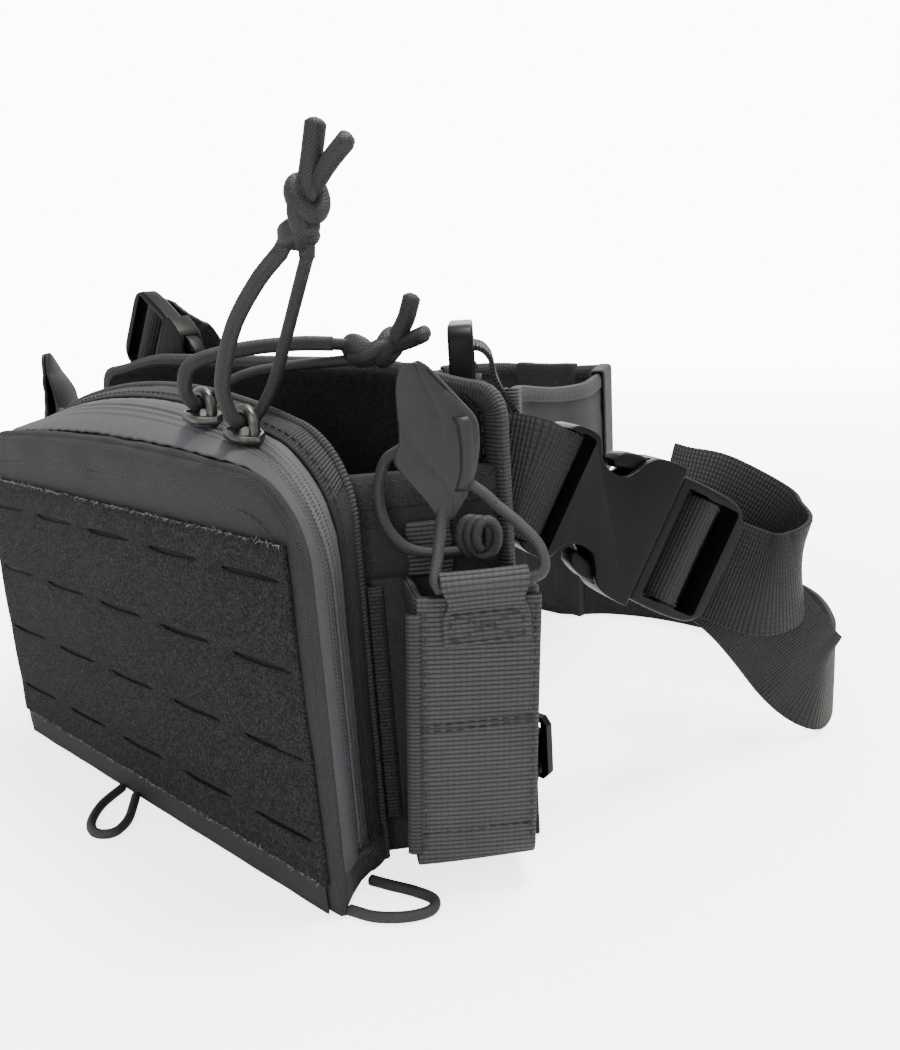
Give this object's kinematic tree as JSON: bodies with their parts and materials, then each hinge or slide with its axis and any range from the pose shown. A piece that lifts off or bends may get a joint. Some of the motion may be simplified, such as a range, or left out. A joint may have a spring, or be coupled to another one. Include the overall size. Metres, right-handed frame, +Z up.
{
  "type": "chest rig with cross-back harness",
  "caption": "Compact fabric chest rig: zipped front pouch, open rear pocket, angled magazine pouches, shoulder bands and side straps on release buckles.",
  "frame": {"origin": "centre of the rig's footprint, cords left out, on the surface it stands on", "axes": "+X towards the right-hand end seen from the front, -Y out of the slotted front, +Z up"},
  "size_m": [0.329, 0.2768, 0.2089],
  "materials": {
    "cordura": "coarse woven nylon",
    "loop_pile": "fuzzy loop pile",
    "zip_tape": "woven zip tape and coil",
    "slider_metal": "black painted",
    "cord": "braided",
    "shock_cord": "smooth elastic braid",
    "coated_tab": "matte coated fabric",
    "plastic": "moulded acetal",
    "webbing": "ribbed nylon webbing"
  },
  "bodies": {
    "rig": {"back_yoke": "cordura", "bottom_loop_centre": "shock_cord", "bottom_loop_left": "shock_cord", "bottom_loop_right": "shock_cord", "cord_anchor_left": "webbing", "cord_anchor_right": "webbing", "front_panel": "cordura", "harness_strap_left": "webbing", "harness_strap_right": "webbing", "loop_field": "loop_pile", "lower_webbing_left": "webbing", "lower_webbing_right": "webbing", "magazine_pouch_left": "cordura", "magazine_pouch_right": "cordura", "magazine_webbing_left": "webbing", "magazine_webbing_right": "webbing", "rear_loop_lining": "loop_pile", "rear_panel": "cordura", "retention_cord_front_left": "shock_cord", "retention_cord_front_right": "shock_cord", "retention_cord_rear_left": "shock_cord", "retention_cord_rear_right": "shock_cord", "shoulder_anchor_left": "webbing", "shoulder_anchor_right": "webbing", "shoulder_band_left": "cordura", "shoulder_band_right": "cordura", "shoulder_buckle_body_left": "plastic", "shoulder_buckle_body_right": "plastic", "shoulder_webbing_left": "webbing", "shoulder_webbing_right": "webbing", "side_buckle_body_left": "plastic", "side_buckle_body_right": "plastic", "side_webbing_left": "webbing", "side_webbing_right": "webbing", "zip_chain": "zip_tape", "zip_pouch_back": "cordura", "zip_pouch_front": "cordura", "zip_pouch_gusset": "cordura"},
    "zip_slider_left": {"zip_slider_left": "slider_metal", "pull_cord_left_front": "cord", "pull_cord_left_back": "cord", "pull_knot_left": "cord"},
    "zip_slider_right": {"zip_slider_right": "slider_metal", "pull_cord_right_front": "cord", "pull_cord_right_back": "cord", "pull_knot_right": "cord"},
    "side_tongue_right": {"side_buckle_tongue_right": "plastic"},
    "side_arm_upper_right": {"side_buckle_right_arm_upper": "plastic"},
    "side_arm_lower_right": {"side_buckle_right_arm_lower": "plastic"},
    "shoulder_tongue_right": {"shoulder_buckle_tongue_right": "plastic"},
    "pull_tab_right": {"pull_tab_right": "coated_tab"},
    "band_keeper_right": {"band_keeper_right": "webbing"},
    "strap_slide_right": {"strap_slide_right": "plastic"},
    "side_tongue_left": {"side_buckle_tongue_left": "plastic"},
    "side_arm_upper_left": {"side_buckle_left_arm_upper": "plastic"},
    "side_arm_lower_left": {"side_buckle_left_arm_lower": "plastic"},
    "shoulder_tongue_left": {"shoulder_buckle_tongue_left": "plastic"},
    "pull_tab_left": {"pull_tab_left": "coated_tab"},
    "band_keeper_left": {"band_keeper_left": "webbing"},
    "strap_slide_left": {"strap_slide_left": "plastic"}
  },
  "joints": [
    {"name": "zip_left_travel", "type": "hinge", "parent": "rig", "child": "zip_slider_left", "pos_m": [0, -0.1122, -0.11907], "axis": [0, 1, 0], "range_deg": [-21, 0]},
    {"name": "zip_right_travel", "type": "hinge", "parent": "rig", "child": "zip_slider_right", "pos_m": [0.055, -0.1122, 0.0935], "axis": [0, 1, 0], "range_deg": [0, 20]},
    {"name": "side_release_right", "type": "slide", "parent": "rig", "child": "side_tongue_right", "axis": [0.3508, 0.7875, -0.5067], "range_m": [0, 0.04], "deforming": ["harness_strap_right"]},
    {"name": "side_arm_upper_right_squeeze", "type": "hinge", "parent": "side_tongue_right", "child": "side_arm_upper_right", "pos_m": [0.13057, -0.00297, 0.10174], "axis": [0.9138, -0.4062, 0.0013], "range_deg": [0, 7], "stiffness_Nm_per_rad": 0.4},
    {"name": "side_arm_lower_right_squeeze", "type": "hinge", "parent": "side_tongue_right", "child": "side_arm_lower_right", "pos_m": [0.12458, -0.01653, 0.07652], "axis": [-0.9138, 0.4062, -0.0013], "range_deg": [0, 7], "stiffness_Nm_per_rad": 0.4},
    {"name": "shoulder_release_right", "type": "slide", "parent": "rig", "child": "shoulder_tongue_right", "axis": [0, 0, 1], "range_m": [0, 0.034], "deforming": ["shoulder_webbing_right"]},
    {"name": "pull_tab_right_stretch", "type": "slide", "parent": "rig", "child": "pull_tab_right", "axis": [0, 0, 1], "range_m": [0, 0.018], "stiffness_N_per_m": 60, "springref_m": -0.002, "deforming": ["retention_cord_front_right", "retention_cord_rear_right"]},
    {"name": "band_keeper_right_shift", "type": "slide", "parent": "rig", "child": "band_keeper_right", "axis": [-0.4061, 0.9138, 0], "range_m": [-0.004, 0]},
    {"name": "strap_slide_right_shift", "type": "slide", "parent": "rig", "child": "strap_slide_right", "axis": [0, 0, 1], "range_m": [-0.008, 0.015], "deforming": ["lower_webbing_right"]},
    {"name": "side_release_left", "type": "slide", "parent": "rig", "child": "side_tongue_left", "axis": [-0.3508, 0.7875, -0.5067], "range_m": [0, 0.04], "deforming": ["harness_strap_left"]},
    {"name": "side_arm_upper_left_squeeze", "type": "hinge", "parent": "side_tongue_left", "child": "side_arm_upper_left", "pos_m": [-0.13057, -0.00297, 0.10174], "axis": [0.9138, 0.4062, -0.0013], "range_deg": [0, 7], "stiffness_Nm_per_rad": 0.4},
    {"name": "side_arm_lower_left_squeeze", "type": "hinge", "parent": "side_tongue_left", "child": "side_arm_lower_left", "pos_m": [-0.12458, -0.01653, 0.07652], "axis": [-0.9138, -0.4062, 0.0013], "range_deg": [0, 7], "stiffness_Nm_per_rad": 0.4},
    {"name": "shoulder_release_left", "type": "slide", "parent": "rig", "child": "shoulder_tongue_left", "axis": [-0.8255, 0, 0.5644], "range_m": [0, 0.034], "deforming": ["shoulder_webbing_left"]},
    {"name": "pull_tab_left_stretch", "type": "slide", "parent": "rig", "child": "pull_tab_left", "axis": [0, 0, 1], "range_m": [0, 0.018], "stiffness_N_per_m": 60, "springref_m": -0.002, "deforming": ["retention_cord_front_left", "retention_cord_rear_left"]},
    {"name": "band_keeper_left_shift", "type": "slide", "parent": "rig", "child": "band_keeper_left", "axis": [0.4061, 0.9138, 0], "range_m": [-0.004, 0]},
    {"name": "strap_slide_left_shift", "type": "slide", "parent": "rig", "child": "strap_slide_left", "axis": [0, 0, 1], "range_m": [-0.008, 0.015], "deforming": ["lower_webbing_left"]}
  ],
  "couplings": [
    {"joint": "side_arm_lower_right_squeeze", "follows": "side_arm_upper_right_squeeze", "ratio": 1},
    {"joint": "side_arm_lower_left_squeeze", "follows": "side_arm_upper_left_squeeze", "ratio": 1}
  ]
}
